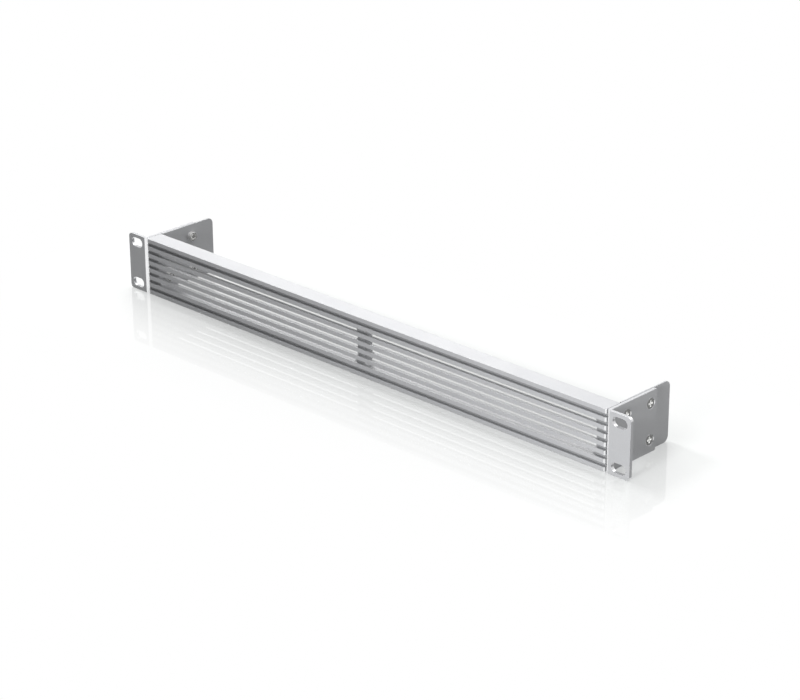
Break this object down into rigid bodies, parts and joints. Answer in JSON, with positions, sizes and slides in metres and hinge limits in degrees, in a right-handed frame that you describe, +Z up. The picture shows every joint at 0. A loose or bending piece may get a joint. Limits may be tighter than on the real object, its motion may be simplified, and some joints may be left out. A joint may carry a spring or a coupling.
{
  "type": "vented blanking panel",
  "caption": "Silver rack blanking panel with horizontal slats over open windows, and a slotted mounting bracket screwed to each side.",
  "frame": {"origin": "middle of the rack slots, on the back face of the ears, where they meet the rack rail", "axes": "+X along the panel from the left ear to the right ear, +Y back into the rack, +Z up"},
  "size_m": [0.4826, 0.0643, 0.0436],
  "materials": {
    "anodised_aluminium": "bead blasted and clear anodised",
    "plated_steel": "bright nickel plated"
  },
  "bodies": {
    "root": {"slatted_front": "anodised_aluminium", "rear_frame": "anodised_aluminium", "left_bracket": "anodised_aluminium", "right_bracket": "anodised_aluminium", "bracket_screw_left_front_lower": "plated_steel", "bracket_screw_left_front_upper": "plated_steel", "bracket_screw_left_rear_lower": "plated_steel", "bracket_screw_left_rear_upper": "plated_steel", "bracket_screw_right_front_lower": "plated_steel", "bracket_screw_right_front_upper": "plated_steel", "bracket_screw_right_rear_lower": "plated_steel", "bracket_screw_right_rear_upper": "plated_steel", "clinch_nut_left_front_lower": "plated_steel", "clinch_nut_left_front_upper": "plated_steel", "clinch_nut_left_rear_lower": "plated_steel", "clinch_nut_left_rear_upper": "plated_steel", "clinch_nut_right_front_lower": "plated_steel", "clinch_nut_right_front_upper": "plated_steel", "clinch_nut_right_rear_lower": "plated_steel", "clinch_nut_right_rear_upper": "plated_steel", "frame_screw_left_lower": "plated_steel", "frame_screw_left_upper": "plated_steel", "frame_screw_right_lower": "plated_steel", "frame_screw_right_upper": "plated_steel"}
  },
  "joints": []
}
